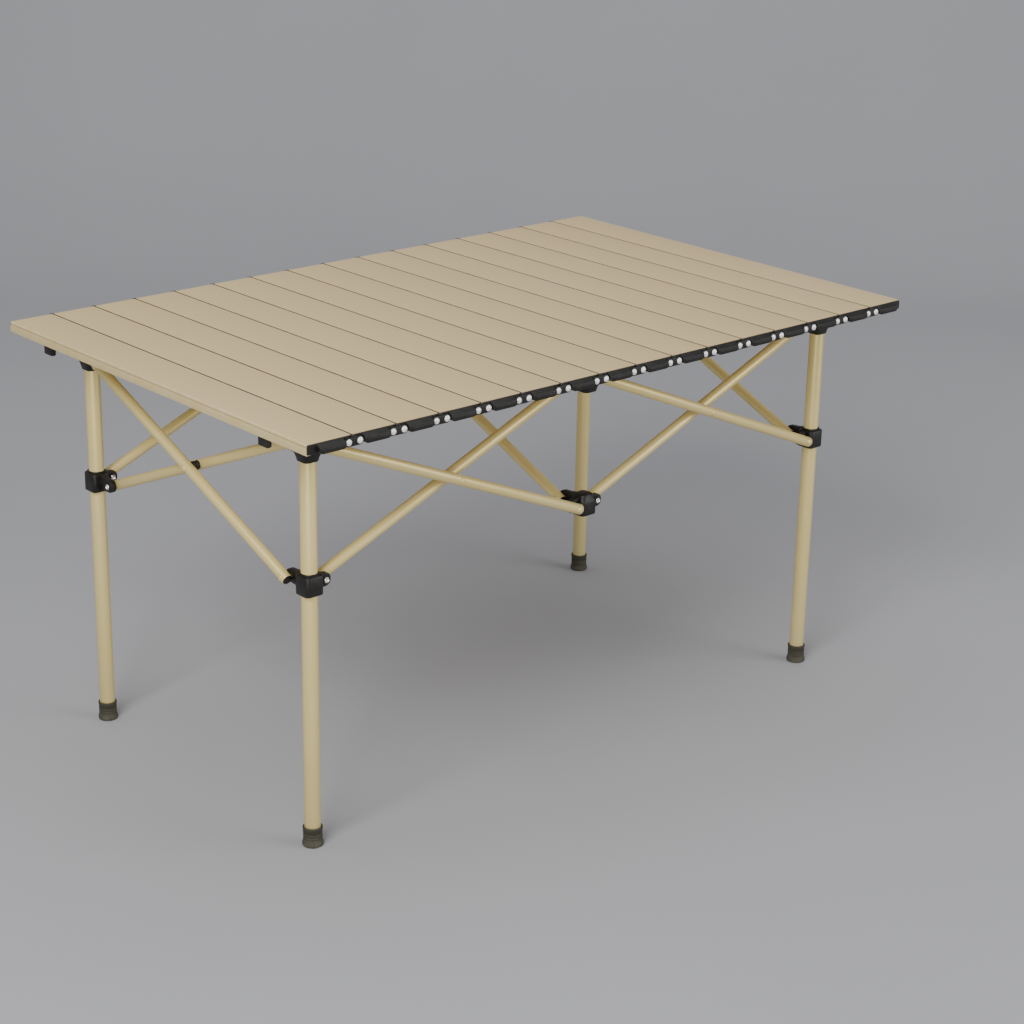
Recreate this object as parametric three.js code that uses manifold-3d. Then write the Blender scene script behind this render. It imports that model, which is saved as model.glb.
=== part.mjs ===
// A roll-top camp table: sixteen aluminium slats hinged edge to edge, laid on a
// folding frame of four legs, four hubs and fourteen scissor bars.
//
// Millimetres, +Z up. +X runs along the long side, to the right as seen from the
// front, +Y runs from the front to the back, and the origin is on the floor,
// under the middle of the table.

import * as THREE from "three";
import { mergeVertices } from "three/addons/utils/BufferGeometryUtils.js";
import Module from "manifold-3d";

const wasm = await Module();
wasm.setup();

// ---------------------------------------------------------------- driving sizes

// The top
const TABLE_HEIGHT = 600; // floor to the top face of the slats
const SLAT_COUNT = 16;
const SLAT_PITCH = 68.75; // from one seam to the next
const SLAT_LENGTH = 694; // along Y, without its end caps
const SLAT_THICKNESS = 14.5;
const SLAT_WALL = 1.1; // skin and lips
const SLAT_SIDE_WALL = 1.7; // the two upright edges
const SLAT_LIP = 7; // the inward lip along each lower edge
const SEAM_GAP = 0.5; // between two slats, below the hinge axis
const HINGE_DEPTH = 5.5; // hinge axis below the top face
const ROLL_STEP = 22; // degrees that one seam bends before its top edges meet
const CAP_PLATE = 3; // end plate of a slat's cap
const CAP_DEPTH = 11; // how far a cap stands out past the slat
const CAP_WIDTH = 40;
const CAP_INSET = 0.6; // the cap's top face lies this far below the slat's
const CAP_RISE = 1.4; // and its lower face this far above the slat's

// The frame
const LEG_INSET_X = 72; // from the end of the top to a leg's axis
const LEG_INSET_Y = 94; // from the slats' ends to a leg's axis
const LEG_DIAMETER = 22;
const LEG_WALL = 1.2;
const PIVOT_DROP = 30.5; // from the slats' underside to the upper row of pivots
const PIVOT_RISE = 180; // from the lower row of pivots to the upper, with the table open
const BAR_DIAMETER = 15;
const BAR_WALL = 1;
const BAR_NOSE = 0.5; // a bar's round end is this much larger than its tube
const EAR_REACH_Y = 37; // from a leg's or a hub's axis to the pivot of its Y ear

// The plastic fittings
const FITTING_WALL = 3; // between the leg and the side of its fitting
const BLOCK_CORNER = 6;
const BLOCK_HEIGHT = 30;
const BRACKET_ROOF = 10; // solid material over the leg's upper end
const EAR_THICKNESS = 8;
const EAR_RADIUS = 8.5; // round its pivot
const EAR_SHOULDER = 2; // from the block's edge to the ear's, where they join
const PEG_RADIUS = 2.5; // the rivet that a bar turns on
const PEG_BITE = 4; // how deep it enters the bar
const SPACER_SHOULDER = 1.5; // a crossing's spacer is this much smaller than its bar

// The feet and the clips
const FOOT_HEIGHT = 28;
const FOOT_FLOOR = 5; // rubber under the leg's lower end
const FOOT_WALL = 2;
const FOOT_FLARE = 1.2; // how far the base stands out past the top
const FOOT_BASE_HEIGHT = 6;
const FOOT_TAPER = 3; // height of the slope above the base
const CLIP_WIDTH = 18;
const CLIP_WEB = 3;
const CLIP_EDGE = 3; // from the slat's outer edge to the clip's hook
const CLIP_HOOK = [8, 13]; // thickness along X, and height
const CLIP_STOP = [7, 9];
const CLIP_STOP_PLACE = 25; // from the hook's outer face to the stop's outer face

// Clearances
const TOUCH_GAP = 0.3; // between faces that rest on each other
const BAR_GAP = 0.5; // between an ear and the bar beside it
const TURN_GAP = 1; // between a block and the round end of a bar that turns beside it
const HOLE_GAP = 0.35; // round a rivet
const LEG_STOP_GAP = 1; // between a clip's web and the bracket beside it

// Overlaps that join two solids, the run of a cutter past what it cuts, and the
// distance below which two vertices are one
const EAR_SINK = 2;
const RIVET_SINK = 1;
const CAP_SINK = 1;
const CUT_OVERRUN = 1;
const WELD = 1e-4;

// ---------------------------------------------------------------- worked out sizes

const LEG_RADIUS = LEG_DIAMETER / 2;
const BAR_RADIUS = BAR_DIAMETER / 2;
const BAR_TAIL = BAR_RADIUS + BAR_NOSE; // how far a bar runs on past its end pivot
const BLOCK_WIDTH = LEG_DIAMETER + 2 * FITTING_WALL;
const SLAT_UNDERSIDE = TABLE_HEIGHT - SLAT_THICKNESS;
const FRAME_TOP = SLAT_UNDERSIDE - TOUCH_GAP;
const TOP_LENGTH = SLAT_COUNT * SLAT_PITCH;
const HALF_SPAN_X = TOP_LENGTH / 2 - LEG_INSET_X;
const HALF_SPAN_Y = SLAT_LENGTH / 2 - LEG_INSET_Y;
const PIVOT_TOP = SLAT_UNDERSIDE - PIVOT_DROP;
const PIVOT_LOW = PIVOT_TOP - PIVOT_RISE;

// A long side has two scissors, from leg to hub and from hub to leg, and a short
// side one. With the sizes above both have the same run, so that every bar has one
// length and turns by one angle as the frame folds.
const EAR_REACH_X = BLOCK_WIDTH / 2 + TURN_GAP + BAR_TAIL;
const RUN_X = HALF_SPAN_X - 2 * EAR_REACH_X;
const RUN_Y = 2 * HALF_SPAN_Y - 2 * EAR_REACH_Y;
const BAR_OFFSET = EAR_THICKNESS / 2 + BAR_GAP + BAR_RADIUS; // from the scissor's plane

const FACETS = { leg: 20, bar: 12, peg: 8, corner: 3, ear: 6, barEnd: 4 };

// ---------------------------------------------------------------- materials

function finish(color, roughness, metalness) {
  return new THREE.MeshStandardMaterial({ color, roughness, metalness });
}

const MATERIALS = {
  slat: finish("#c3b58d", 0.55, 0.2),
  tube: finish("#bfb286", 0.5, 0.2),
  fitting: finish("#26241f", 0.6, 0),
  rubber: finish("#45433a", 0.85, 0),
};

// ---------------------------------------------------------------- solids

// A closed geometry as a manifold-3d solid: only positions, shared vertices merged.
function solid(geometry) {
  const bare = geometry.index ? geometry.toNonIndexed() : geometry.clone();
  bare.deleteAttribute("normal");
  bare.deleteAttribute("uv");
  const merged = mergeVertices(bare, WELD);
  const mesh = new wasm.Mesh({
    numProp: 3,
    vertProperties: new Float32Array(merged.attributes.position.array),
    triVerts: new Uint32Array(merged.index.array),
  });
  return new wasm.Manifold(mesh);
}

function named(name, shape, material) {
  const raw = shape.getMesh();
  const geometry = new THREE.BufferGeometry();
  geometry.setAttribute("position", new THREE.BufferAttribute(raw.vertProperties, 3));
  geometry.setIndex(new THREE.BufferAttribute(raw.triVerts, 1));
  geometry.computeVertexNormals();
  const mesh = new THREE.Mesh(geometry, material);
  mesh.name = name;
  return mesh;
}

function box(low, high) {
  const size = high.map((v, i) => v - low[i]);
  const middle = high.map((v, i) => (v + low[i]) / 2);
  const geometry = new THREE.BoxGeometry(...size);
  geometry.translate(...middle);
  return solid(geometry);
}

function inOrder(a, b) {
  return a < b ? [a, b] : [b, a];
}

// A round bar along Z, Y or X between two values of that coordinate.
function round(radius, from, to, axis = "z", sides = FACETS.leg) {
  const geometry = new THREE.CylinderGeometry(radius, radius, to - from, sides);
  geometry.translate(0, (from + to) / 2, 0);
  if (axis === "z") geometry.rotateX(Math.PI / 2);
  if (axis === "x") geometry.rotateZ(-Math.PI / 2);
  return solid(geometry);
}

// A square block with rounded upright corners, on the Z axis.
function block(width, corner, bottom, top) {
  const half = width / 2;
  const flat = half - corner;
  const shape = new THREE.Shape();
  shape.moveTo(half, -flat);
  shape.absarc(flat, flat, corner, 0, Math.PI / 2);
  shape.absarc(-flat, flat, corner, Math.PI / 2, Math.PI);
  shape.absarc(-flat, -flat, corner, Math.PI, 1.5 * Math.PI);
  shape.absarc(flat, -flat, corner, 1.5 * Math.PI, 2 * Math.PI);
  const options = { depth: top - bottom, bevelEnabled: false, curveSegments: FACETS.corner };
  const geometry = new THREE.ExtrudeGeometry(shape, options);
  geometry.translate(0, 0, bottom);
  return solid(geometry);
}

// An outline in the XZ plane carried along Y from one value to the other.
function prism(points, from, to) {
  const shape = new THREE.Shape(points.map(([x, z]) => new THREE.Vector2(x, z)));
  const geometry = new THREE.ExtrudeGeometry(shape, { depth: to - from, bevelEnabled: false });
  geometry.rotateX(Math.PI / 2);
  geometry.translate(0, to, 0);
  return solid(geometry);
}

// ---------------------------------------------------------------- the top

// Half the width of a slat at its top face: two slats that bend by ROLL_STEP about
// the hinge axis below the seam just clear each other there.
function slatHalfWidths() {
  const side = SLAT_PITCH / 2 - SEAM_GAP / 2;
  const bend = THREE.MathUtils.degToRad(ROLL_STEP / 2);
  const top = side - HINGE_DEPTH * Math.tan(bend);
  return { side, top };
}

function slatOutline() {
  const { side, top } = slatHalfWidths();
  return [
    [-side, -SLAT_THICKNESS],
    [side, -SLAT_THICKNESS],
    [side, -HINGE_DEPTH],
    [top, 0],
    [-top, 0],
    [-side, -HINGE_DEPTH],
  ];
}

// The hollow under the slat's skin, open downwards between the two lips.
function slatHollow() {
  const { side } = slatHalfWidths();
  const inner = side - SLAT_SIDE_WALL;
  const mouth = side - SLAT_LIP;
  return [
    [-mouth, -SLAT_THICKNESS - CUT_OVERRUN],
    [mouth, -SLAT_THICKNESS - CUT_OVERRUN],
    [mouth, -SLAT_THICKNESS + SLAT_WALL],
    [inner, -SLAT_THICKNESS + SLAT_WALL],
    [inner, -SLAT_WALL],
    [-inner, -SLAT_WALL],
    [-inner, -SLAT_THICKNESS + SLAT_WALL],
    [-mouth, -SLAT_THICKNESS + SLAT_WALL],
  ];
}

function slat(name) {
  const half = SLAT_LENGTH / 2;
  const inside = half - CAP_PLATE;
  let shape = prism(slatOutline(), -half, half);
  shape = shape.subtract(prism(slatHollow(), -inside, inside));
  for (const end of [-1, 1]) {
    const faces = inOrder(end * (half - CAP_SINK), end * (half + CAP_DEPTH));
    const low = [-CAP_WIDTH / 2, faces[0], -SLAT_THICKNESS + CAP_RISE];
    const high = [CAP_WIDTH / 2, faces[1], -CAP_INSET];
    shape = shape.add(box(low, high));
  }
  return named(name, shape, MATERIALS.slat);
}

// A hook that hangs under an end slat, over a leg. Its outer face is at x = 0 and
// its web runs inwards along +X.
function slatClip(name, webLength) {
  const top = -TOUCH_GAP;
  const stop = CLIP_STOP_PLACE;
  const outline = [
    [0, top],
    [0, top - CLIP_HOOK[1]],
    [CLIP_HOOK[0], top - CLIP_HOOK[1]],
    [CLIP_HOOK[0], top - CLIP_WEB],
    [stop, top - CLIP_WEB],
    [stop, top - CLIP_STOP[1]],
    [stop + CLIP_STOP[0], top - CLIP_STOP[1]],
    [stop + CLIP_STOP[0], top - CLIP_WEB],
    [webLength, top - CLIP_WEB],
    [webLength, top],
  ];
  return named(name, prism(outline, -CLIP_WIDTH / 2, CLIP_WIDTH / 2), MATERIALS.fitting);
}

function tabletop() {
  const group = new THREE.Group();
  for (let i = 0; i < SLAT_COUNT; i += 1) {
    const mesh = slat("slat_" + String(i + 1).padStart(2, "0"));
    mesh.position.set((i + 0.5) * SLAT_PITCH - TOP_LENGTH / 2, 0, TABLE_HEIGHT);
    group.add(mesh);
  }
  const hookPlace = slatHalfWidths().side + (TOP_LENGTH - SLAT_PITCH) / 2 - CLIP_EDGE;
  const webLength = hookPlace - HALF_SPAN_X - BLOCK_WIDTH / 2 - LEG_STOP_GAP;
  for (const [row, y] of [["front", -HALF_SPAN_Y], ["back", HALF_SPAN_Y]]) {
    for (const [side, sign] of [["left", -1], ["right", 1]]) {
      const clip = slatClip(row + "_" + side + "_slat_clip", webLength);
      clip.position.set(sign * hookPlace, y, SLAT_UNDERSIDE);
      clip.rotation.z = sign < 0 ? 0 : Math.PI;
      group.add(clip);
    }
  }
  return group;
}

// ---------------------------------------------------------------- the fittings

// An ear is an upright plate with a round end, reaching out from the block along
// +X at height 0, with the rivet that its bar turns on at its `side` face.
function ear(reach, side) {
  const half = EAR_THICKNESS / 2;
  const root = BLOCK_WIDTH / 2 - EAR_SINK;
  const shape = new THREE.Shape();
  shape.moveTo(root, EAR_SHOULDER - BLOCK_HEIGHT / 2);
  shape.lineTo(reach, -EAR_RADIUS);
  shape.absarc(reach, 0, EAR_RADIUS, -Math.PI / 2, Math.PI / 2);
  shape.lineTo(root, BLOCK_HEIGHT / 2 - EAR_SHOULDER);
  const options = { depth: EAR_THICKNESS, bevelEnabled: false, curveSegments: FACETS.ear };
  const geometry = new THREE.ExtrudeGeometry(shape, options);
  geometry.rotateX(Math.PI / 2);
  geometry.translate(0, half, 0);
  const ends = inOrder(side * (half - RIVET_SINK), side * (half + BAR_GAP + PEG_BITE));
  const rivet = round(PEG_RADIUS, ...ends, "y", FACETS.peg).translate([reach, 0, 0]);
  return solid(geometry).add(rivet);
}

// A fitting is a block with ears. `ears` lists, for each one, the way it points
// ("+x", "-x", "+y" or "-y") and the side of it that its bar is on.
function fitting(name, options) {
  const { bottom, top, ears, boreTo } = options;
  let shape = block(BLOCK_WIDTH, BLOCK_CORNER, bottom, top);
  for (const [way, side] of ears) {
    const turn = { "+x": 0, "+y": 90, "-x": 180, "-y": 270 }[way];
    const reach = way[1] === "x" ? EAR_REACH_X : EAR_REACH_Y;
    // A turn of 180 degrees swaps the plate's two faces, and so does one of 90 from X to Y.
    const flipped = way === "-x" || way === "+y";
    shape = shape.add(ear(reach, flipped ? -side : side).rotate([0, 0, turn]));
  }
  if (boreTo !== undefined) {
    shape = shape.subtract(round(LEG_RADIUS + TOUCH_GAP, bottom - CUT_OVERRUN, boreTo));
  }
  return named(name, shape, MATERIALS.fitting);
}

// Bars that fall towards +X lie on a long side's -Y face, and bars that rise on its
// +Y face. On a short side, bars that rise towards +Y lie on the -X face.
function earsAt(xWays, yWay, isTop) {
  const list = xWays.map((way) => {
    const falls = (way === "+x") === isTop;
    return [way, falls ? -1 : 1];
  });
  const falls = (yWay === "+y") === isTop;
  list.push([yWay, falls ? 1 : -1]);
  return list;
}

// ---------------------------------------------------------------- legs and hubs

function legTube(name) {
  const bottom = FOOT_FLOOR + TOUCH_GAP;
  const top = FRAME_TOP - BRACKET_ROOF - TOUCH_GAP;
  const tube = round(LEG_RADIUS, bottom, top);
  const bore = round(LEG_RADIUS - LEG_WALL, bottom - CUT_OVERRUN, top + CUT_OVERRUN);
  return named(name, tube.subtract(bore), MATERIALS.tube);
}

function foot(name) {
  const socket = LEG_RADIUS + TOUCH_GAP;
  const upper = LEG_RADIUS + FOOT_WALL;
  const base = upper + FOOT_FLARE;
  const points = [
    [0, 0],
    [base, 0],
    [base, FOOT_BASE_HEIGHT],
    [upper, FOOT_BASE_HEIGHT + FOOT_TAPER],
    [upper, FOOT_HEIGHT],
    [socket, FOOT_HEIGHT],
    [socket, FOOT_FLOOR],
    [0, FOOT_FLOOR],
  ];
  const outline = points.map(([r, z]) => new THREE.Vector2(r, z));
  const geometry = new THREE.LatheGeometry(outline, FACETS.leg);
  geometry.rotateX(Math.PI / 2);
  return named(name, solid(geometry), MATERIALS.rubber);
}

function leg(row, side) {
  const prefix = row + "_" + side + "_";
  const ways = side === "left" ? ["+x"] : ["-x"];
  const yWay = row === "front" ? "+y" : "-y";
  const group = new THREE.Group();
  group.add(legTube(prefix + "leg"), foot(prefix + "foot"));

  const bracket = fitting(prefix + "top_bracket", {
    bottom: -BLOCK_HEIGHT / 2,
    top: FRAME_TOP - PIVOT_TOP,
    ears: earsAt(ways, yWay, true),
    boreTo: FRAME_TOP - BRACKET_ROOF - PIVOT_TOP,
  });
  bracket.position.z = PIVOT_TOP;

  const collar = fitting(prefix + "slide_collar", {
    bottom: -BLOCK_HEIGHT / 2,
    top: BLOCK_HEIGHT / 2,
    ears: earsAt(ways, yWay, false),
    boreTo: BLOCK_HEIGHT / 2 + CUT_OVERRUN,
  });
  collar.position.z = PIVOT_LOW;

  group.add(bracket, collar);
  group.position.x = side === "left" ? -HALF_SPAN_X : HALF_SPAN_X;
  group.position.y = row === "front" ? -HALF_SPAN_Y : HALF_SPAN_Y;
  return group;
}

function hubs(row) {
  const yWay = row === "front" ? "+y" : "-y";
  const group = new THREE.Group();
  for (const [level, z, isTop] of [["top", PIVOT_TOP, true], ["lower", PIVOT_LOW, false]]) {
    const hub = fitting(row + "_" + level + "_hub", {
      bottom: -BLOCK_HEIGHT / 2,
      top: isTop ? FRAME_TOP - PIVOT_TOP : BLOCK_HEIGHT / 2,
      ears: earsAt(["+x", "-x"], yWay, isTop),
    });
    hub.position.z = z;
    group.add(hub);
  }
  group.position.y = row === "front" ? -HALF_SPAN_Y : HALF_SPAN_Y;
  return group;
}

// ---------------------------------------------------------------- scissor bars

// The outline that gives a bar its round ends, seen along Y. `spacing` is the
// distance between the bar's end pivots.
function barEnds(spacing) {
  const half = spacing / 2;
  const shape = new THREE.Shape();
  shape.moveTo(half, -BAR_TAIL);
  shape.absarc(half, 0, BAR_TAIL, -Math.PI / 2, Math.PI / 2);
  shape.absarc(-half, 0, BAR_TAIL, Math.PI / 2, 1.5 * Math.PI);
  const options = { depth: 2 * BAR_DIAMETER, bevelEnabled: false, curveSegments: FACETS.barEnd };
  const geometry = new THREE.ExtrudeGeometry(shape, options);
  geometry.rotateX(Math.PI / 2);
  geometry.translate(0, BAR_DIAMETER, 0);
  return solid(geometry);
}

// A bar along X with its middle at the origin. `side` is the side of the scissor's
// plane that it lies on, so its rivet holes are in the wall on the other side.
function bar(name, spacing, side, hasSpacer) {
  const half = spacing / 2 + BAR_TAIL;
  const cut = half + CUT_OVERRUN;
  const bore = round(BAR_RADIUS - BAR_WALL, -cut, cut, "x", FACETS.bar);
  let shape = round(BAR_RADIUS, -half, half, "x", FACETS.bar).subtract(bore);
  shape = shape.intersect(barEnds(spacing));
  const wall = inOrder(-side * (BAR_RADIUS + CUT_OVERRUN), 0);
  const places = hasSpacer ? [-1, 1] : [-1, 0, 1];
  for (const place of places) {
    const hole = round(PEG_RADIUS + HOLE_GAP, ...wall, "y", FACETS.peg);
    shape = shape.subtract(hole.translate([(place * spacing) / 2, 0, 0]));
  }
  if (hasSpacer) {
    const spacer = BAR_RADIUS - SPACER_SHOULDER;
    const near = -side * (BAR_RADIUS - BAR_WALL / 2);
    const face = -side * (2 * BAR_OFFSET - BAR_RADIUS - TOUCH_GAP);
    const tip = -side * (2 * BAR_OFFSET - BAR_RADIUS + PEG_BITE);
    shape = shape.add(round(spacer, ...inOrder(near, face), "y", FACETS.bar));
    shape = shape.add(round(PEG_RADIUS, ...inOrder(near, tip), "y", FACETS.peg));
  }
  return named(name, shape, MATERIALS.tube);
}

// A crossed pair in the XZ plane, with its middle at the origin: the falling bar on
// the -Y side and the rising one, which carries the spacer, on the +Y side.
function scissor(run, prefix) {
  const group = new THREE.Group();
  const slope = Math.atan2(PIVOT_RISE, run);
  const spacing = Math.hypot(PIVOT_RISE, run);
  const falling = bar(prefix + "_falling_bar", spacing, -1, false);
  falling.position.y = -BAR_OFFSET;
  falling.rotation.y = slope;
  const rising = bar(prefix + "_rising_bar", spacing, 1, true);
  rising.position.y = BAR_OFFSET;
  rising.rotation.y = -slope;
  group.add(falling, rising);
  group.position.z = (PIVOT_TOP + PIVOT_LOW) / 2;
  return group;
}

function scissors() {
  const group = new THREE.Group();
  for (const [row, y] of [["front", -HALF_SPAN_Y], ["back", HALF_SPAN_Y]]) {
    for (const [side, x] of [["left", -HALF_SPAN_X / 2], ["right", HALF_SPAN_X / 2]]) {
      const pair = scissor(RUN_X, row + "_" + side);
      pair.position.x = x;
      pair.position.y = y;
      group.add(pair);
    }
  }
  for (const [place, x] of [["left", -HALF_SPAN_X], ["middle", 0], ["right", HALF_SPAN_X]]) {
    const pair = scissor(RUN_Y, place + "_cross");
    pair.rotation.z = Math.PI / 2;
    pair.position.x = x;
    group.add(pair);
  }
  return group;
}

// ---------------------------------------------------------------- the table

const table = new THREE.Group();
table.add(tabletop());
for (const row of ["front", "back"]) {
  for (const side of ["left", "right"]) {
    table.add(leg(row, side));
  }
  table.add(hubs(row));
}
table.add(scissors());

export default table;
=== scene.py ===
# %% [markdown]
# # A roll-top camp table
#
# Sixteen aluminium slats hinge edge to edge and lie on a folding frame of four
# legs, four hubs and fourteen scissor bars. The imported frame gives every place
# and every moving body. This script dresses each body with finer pieces: each is
# a surface worked out as a whole numpy array, in metres, with X along the long
# side, Y from front to back and Z up.

# %% Load the frame
import math

import bpy
import numpy as np
from mathutils import Matrix, Vector


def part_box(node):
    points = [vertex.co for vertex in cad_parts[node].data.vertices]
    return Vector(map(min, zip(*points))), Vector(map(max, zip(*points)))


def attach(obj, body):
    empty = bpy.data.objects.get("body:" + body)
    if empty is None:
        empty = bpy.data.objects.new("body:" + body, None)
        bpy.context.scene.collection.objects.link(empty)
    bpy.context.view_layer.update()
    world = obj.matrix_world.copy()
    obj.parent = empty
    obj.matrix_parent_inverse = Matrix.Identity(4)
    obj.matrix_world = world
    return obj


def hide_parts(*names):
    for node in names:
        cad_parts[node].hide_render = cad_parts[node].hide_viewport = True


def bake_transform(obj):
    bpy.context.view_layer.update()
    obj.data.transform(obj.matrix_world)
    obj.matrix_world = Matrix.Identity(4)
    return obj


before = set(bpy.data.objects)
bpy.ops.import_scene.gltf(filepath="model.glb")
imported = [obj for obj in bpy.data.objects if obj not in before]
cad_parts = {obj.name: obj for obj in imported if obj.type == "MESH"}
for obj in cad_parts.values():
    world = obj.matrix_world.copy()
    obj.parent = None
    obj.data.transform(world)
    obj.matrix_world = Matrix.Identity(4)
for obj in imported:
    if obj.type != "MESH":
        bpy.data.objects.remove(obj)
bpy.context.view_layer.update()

# %% [markdown]
# ## Surfaces from rings
#
# Nearly every part of such a table is drawn, extruded or moulded, so its surface
# is a row of rings: closed loops with the same number of points, one after
# another. `skin` joins neighbouring rings with four-sided faces and closes the
# first and the last with one flat face each. For a tube with a bore the row of
# rings is itself a loop, so the last ring is joined to the first instead.

# %% Skin a row of rings
def skin(rings, loop=False):
    """Vertices and faces of a surface through rings, an array of (rings, points, 3).
    Face (i, j) joins points j and j + 1 of ring i to the same points of ring i + 1."""
    rings = np.asarray(rings, float)
    m, n, _ = rings.shape
    i = np.arange(m if loop else m - 1)[:, None]
    j = np.arange(n)[None, :]
    after, beside = (i + 1) % m, (j + 1) % n
    corners = (i * n + j, i * n + beside, after * n + beside, after * n + j)
    faces = np.stack(np.broadcast_arrays(*corners), -1).reshape(-1, 4).tolist()
    if not loop:
        faces += [list(range(n))[::-1], list(range((m - 1) * n, m * n))]
    return outward(rings.reshape(-1, 3), faces)


def outward(points, faces):
    """The same shell with its faces turned to point out. The volume is a sum over
    triangles of corner a dotted with b cross c, and is negative when inside out."""
    fans = [(f[0], f[k], f[k + 1]) for f in faces for k in range(1, len(f) - 1)]
    a, b, c = (points[list(column)] for column in zip(*fans))
    if np.einsum("ij,ij->i", a - points[0], np.cross(b - points[0], c - points[0])).sum() < 0:
        faces = [f[::-1] for f in faces]
    return points, faces


# %% [markdown]
# A piece is one mesh object made of one or more of these closed shells. Its object
# stays at the origin, and its place is in its vertices, as for the CAD nodes.

# %% Make a piece from shells
def piece(name, shells, material, body, crease=40):
    """One mesh object from closed shells. Faces that meet at more than `crease`
    degrees keep a sharp edge, and the others are shaded smooth."""
    points, faces, start = [], [], 0
    for shell_points, shell_faces in shells:
        points.append(shell_points)
        faces += [[v + start for v in f] for f in shell_faces]
        start += len(shell_points)
    mesh = bpy.data.meshes.new(name)
    mesh.from_pydata(np.concatenate(points).tolist(), [], faces)
    mesh.shade_smooth()
    mesh.set_sharp_from_angle(angle=math.radians(crease))
    mesh.materials.append(material)
    obj = bpy.data.objects.new(name, mesh)
    bpy.context.scene.collection.objects.link(obj)
    if body is not None:
        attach(obj, body)
    return obj


# %% [markdown]
# ## Outlines and solids
#
# A moulded or pressed part has no razor edges: its corners are rounded in plan,
# and its faces meet in a small bevel that catches the light. `rounded` gives an
# outline its corner arcs, and `slab` carries an outline along an axis with a
# quarter-round bevel at each end.

# %% Round the corners of an outline
def rounded(corners, radii, steps=5):
    """Outline with each corner replaced by an arc that touches both its sides.
    The arc's middle lies on the corner's bisector, at radius / sin(half angle)."""
    p = np.asarray(corners, float)
    r = np.broadcast_to(np.asarray(radii, float), len(p))[:, None]
    back = np.roll(p, 1, 0) - p
    ahead = np.roll(p, -1, 0) - p
    back /= np.linalg.norm(back, axis=1, keepdims=True)
    ahead /= np.linalg.norm(ahead, axis=1, keepdims=True)
    half = np.arccos(np.clip((back * ahead).sum(1, keepdims=True), -1, 1)) / 2
    bisector = back + ahead
    bisector /= np.linalg.norm(bisector, axis=1, keepdims=True)
    middle = p + bisector * r / np.sin(half)
    first = p + back * r / np.tan(half) - middle
    last = p + ahead * r / np.tan(half) - middle
    sweep = (math.pi - 2 * half)[:, None, :]
    t = np.linspace(0, 1, steps)[None, :, None]
    arc = np.sin((1 - t) * sweep) * first[:, None] + np.sin(t * sweep) * last[:, None]
    return (middle[:, None] + arc / np.sin(sweep)).reshape(-1, 2)


def circle(radius, count=48):
    """Points at equal angles round a circle."""
    a = np.linspace(0, 2 * math.pi, count, endpoint=False)
    return np.stack([np.cos(a), np.sin(a)], 1) * radius


def shrunk(outline, by):
    """Each point of an anticlockwise outline moved inwards, across the line from its
    neighbour before to its neighbour after."""
    along = np.roll(outline, -1, 0) - np.roll(outline, 1, 0)
    along /= np.linalg.norm(along, axis=1, keepdims=True) + 1e-12
    return outline + by * np.stack([-along[:, 1], along[:, 0]], 1)


# %% Place plane shapes in space
# Two axes for a flat outline, and a third that it is carried along.
AXES = {
    "y": np.array([[1, 0, 0], [0, 0, 1], [0, 1, 0]], float),
    "z": np.array([[1, 0, 0], [0, 1, 0], [0, 0, 1]], float),
}


def placed(flat, level, frame_axes, origin=(0, 0, 0)):
    """Points of rings in space: the outline's two numbers go along the first two
    axes and the ring's level goes along the third."""
    u, v, w = np.asarray(frame_axes, float)
    level = np.asarray(level, float).reshape(-1, 1, 1)
    return flat[..., :1] * u + flat[..., 1:] * v + level * w + np.asarray(origin, float)


def slab(outline, low, high, bevel, axes, origin=(0, 0, 0), steps=4):
    """An outline carried from level low to level high. At each end the level runs as
    bevel x (1 - cos a) while the outline shrinks by bevel x (1 - sin a)."""
    a = np.linspace(0, math.pi / 2, steps)
    inset = bevel * (1 - np.sin(a))
    rise = bevel * (1 - np.cos(a))
    insets = np.concatenate([inset, inset[::-1]])
    levels = np.concatenate([low + rise, high - rise[::-1]])
    flat = np.stack([shrunk(outline, by) for by in insets])
    return skin(placed(flat, levels, axes, origin))


def turned(profile, axes, origin=(0, 0, 0), count=48, loop=False):
    """A profile of (radius, level) rows turned round the third axis."""
    profile = np.asarray(profile, float)
    flat = circle(1, count)[None] * profile[:, :1, None]
    return skin(placed(flat, profile[:, 1], axes, origin), loop)


def arc(centre, radius, start, end, steps=5):
    """Points of a profile along an arc between two angles in degrees."""
    a = np.radians(np.linspace(start, end, steps))
    return np.stack([centre[0] + radius * np.cos(a), centre[1] + radius * np.sin(a)], 1)


print("outline test:", rounded([(0, 0), (1, 0), (1, 1), (0, 1)], 0.1).shape)

# %% [markdown]
# ## Shader maths as Python expressions
#
# A finish is worked out from the position on the piece. Writing that as nodes by
# hand is slow to read, so `Number` wraps one output socket and turns `+`, `-`, `*`
# and `/` into Math nodes. Every other node comes from `Finish.node`.

# %% Numbers and nodes
class Number:
    """A number that varies over a surface, held by one output socket."""

    def __init__(self, finish, socket):
        self.finish, self.socket = finish, socket

    def __add__(self, other):
        return self.finish.maths("ADD", self, other)

    def __sub__(self, other):
        return self.finish.maths("SUBTRACT", self, other)

    def __rsub__(self, other):
        return self.finish.maths("SUBTRACT", other, self)

    def __mul__(self, other):
        return self.finish.maths("MULTIPLY", self, other)

    def __truediv__(self, other):
        return self.finish.maths("DIVIDE", self, other)

    def __rtruediv__(self, other):
        return self.finish.maths("DIVIDE", other, self)

    __radd__, __rmul__ = __add__, __mul__


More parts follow.
